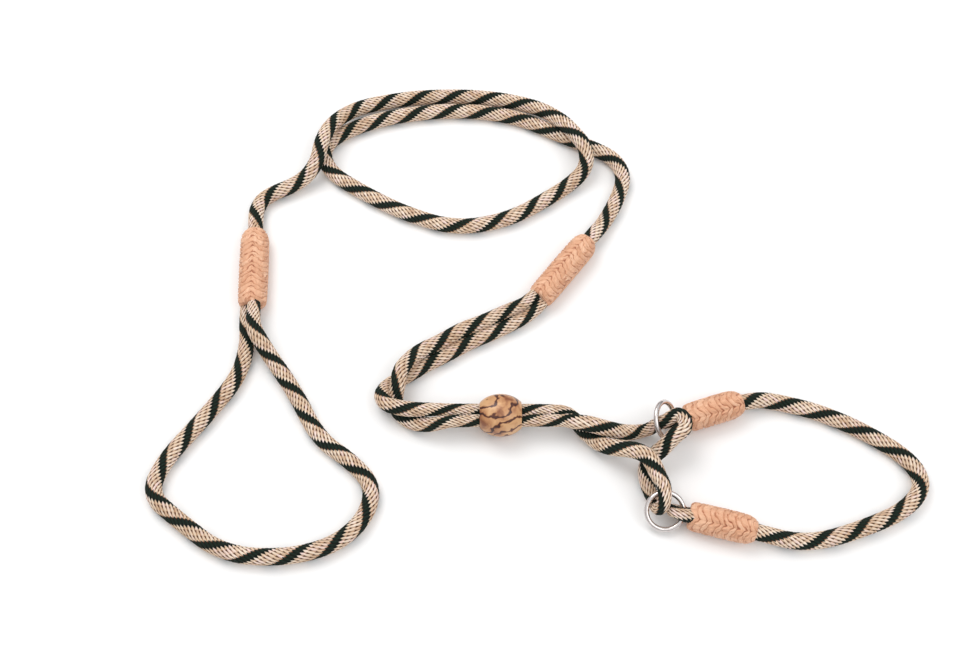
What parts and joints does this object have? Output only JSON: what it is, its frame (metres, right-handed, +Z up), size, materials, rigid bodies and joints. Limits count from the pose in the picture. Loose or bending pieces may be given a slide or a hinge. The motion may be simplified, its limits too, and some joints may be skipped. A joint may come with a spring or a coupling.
{
  "type": "rope halter",
  "caption": "Braided 10 mm rope show halter: hand loop, lead line, sliding wooden bead, control loop and noseband on two steel rings.",
  "frame": {"origin": "centre of the bounding box's base, on the surface the halter lies on", "axes": "+X from the hand loop towards the noseband, +Y from the noseband side towards the lead line's open loop, +Z up"},
  "size_m": [0.4686, 0.3474, 0.0276],
  "materials": {
    "rope": "braided tan yarn with dark green tracers",
    "whipping": "woven peach cord",
    "steel": "polished",
    "wood": "smooth, satin varnish"
  },
  "bodies": {
    "root": {"hand_loop": "rope", "lead_line": "rope", "control_loop": "rope", "noseband": "rope", "hand_whipping": "whipping", "lead_whipping": "whipping", "upper_whipping": "whipping", "lower_whipping": "whipping"},
    "bead": {"bead": "wood"},
    "upper_ring": {"upper_ring": "steel"},
    "lower_ring": {"lower_ring": "steel"}
  },
  "joints": [
    {"name": "bead_slide", "type": "slide", "parent": "root", "child": "bead", "axis": [1, 0, 0], "range_m": [-0.012, 0.018]},
    {"name": "upper_ring_turn", "type": "hinge", "parent": "root", "child": "upper_ring", "pos_m": [0.07735, -0.08695, 0.01695], "axis": [0.7801, -0.202, 0.5921], "continuous": true},
    {"name": "lower_ring_turn", "type": "hinge", "parent": "root", "child": "lower_ring", "pos_m": [0.0743, -0.1424, 0.00977], "axis": [0, -0.4848, 0.8746], "continuous": true}
  ]
}
